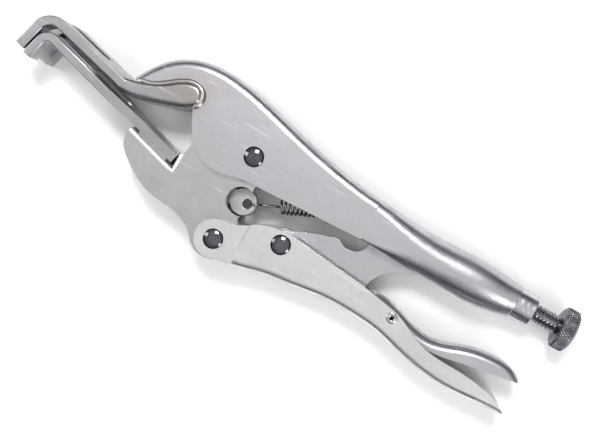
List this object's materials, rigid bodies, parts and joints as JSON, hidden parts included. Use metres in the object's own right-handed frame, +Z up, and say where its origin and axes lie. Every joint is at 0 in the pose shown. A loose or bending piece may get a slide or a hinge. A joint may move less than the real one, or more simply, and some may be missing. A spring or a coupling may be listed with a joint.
{
  "type": "locking pliers",
  "caption": "Locking clamp pliers with forked hooked jaws, an over-centre toggle linkage, an adjusting screw and a release lever.",
  "frame": {"origin": "centre of the bounding box in X and Y, at the height of the lower fork and rivet faces the tool lies on", "axes": "+X along the adjusting screw from the jaws toward the knob, +Y toward the back of the upper handle, +Z up along the pivots"},
  "size_m": [0.2372, 0.066, 0.0206],
  "materials": {
    "plated_steel": "satin nickel plate",
    "collar_steel": "turned and plated",
    "weld_steel": "plated weld bead",
    "dark_steel": "dull plate",
    "chrome_rivet": "polished rivet head",
    "spring_steel": "dark spring wire",
    "screw_steel": "dark plated thread",
    "knob_steel": "dark plated knurl"
  },
  "bodies": {
    "fixed_handle": {"upper_handle": "plated_steel", "end_collar": "collar_steel", "upper_jaw_fork": "plated_steel", "upper_weld_left": "weld_steel", "upper_weld_right": "weld_steel", "spring_hanger": "dark_steel", "jaw_pivot_rivet": "chrome_rivet"},
    "moving_jaw": {"lower_jaw": "plated_steel", "lower_jaw_fork": "plated_steel", "lower_weld_left": "weld_steel", "lower_weld_right": "weld_steel", "spring_lug": "dark_steel", "return_spring": "spring_steel"},
    "moving_handle": {"lower_handle": "plated_steel", "handle_pivot_rivet": "chrome_rivet", "link_pivot_rivet": "chrome_rivet", "release_pivot_rivet": "chrome_rivet"},
    "link": {"toggle_link": "plated_steel"},
    "release": {"release_lever": "plated_steel"},
    "screw": {"adjusting_screw": "screw_steel"},
    "knob": {"adjusting_knob": "knob_steel"}
  },
  "joints": [
    {"name": "jaw_pivot", "type": "hinge", "parent": "fixed_handle", "child": "moving_jaw", "pos_m": [-0.01864, 0.00969, 0.0103], "axis": [0, 0, 1], "range_deg": [0, 12], "deforming": ["return_spring"]},
    {"name": "handle_pivot", "type": "hinge", "parent": "moving_jaw", "child": "moving_handle", "pos_m": [-0.01734, -0.02471, 0.0103], "axis": [0, 0, -1], "range_deg": [0, 50]},
    {"name": "link_pivot", "type": "hinge", "parent": "moving_handle", "child": "link", "pos_m": [0.00606, -0.01431, 0.0103], "axis": [0, 0, 1], "range_deg": [0, 55]},
    {"name": "release_pivot", "type": "hinge", "parent": "moving_handle", "child": "release", "pos_m": [0.05586, -0.01791, 0.0103], "axis": [0, 0, -1], "range_deg": [0, 6]},
    {"name": "screw_travel", "type": "slide", "parent": "fixed_handle", "child": "screw", "axis": [1, 0, 0], "range_m": [0, 0.0046]},
    {"name": "knob_turn", "type": "hinge", "parent": "screw", "child": "knob", "pos_m": [0.11556, 0.00969, 0.0103], "axis": [1, 0, 0], "range_deg": [0, 1080]}
  ],
  "couplings": [
    {"joint": "jaw_pivot", "follows": "handle_pivot", "ratio": 0.23},
    {"joint": "link_pivot", "follows": "handle_pivot", "ratio": 1.09},
    {"joint": "screw_travel", "follows": "knob_turn", "m_per_rad": 0.00023873}
  ]
}
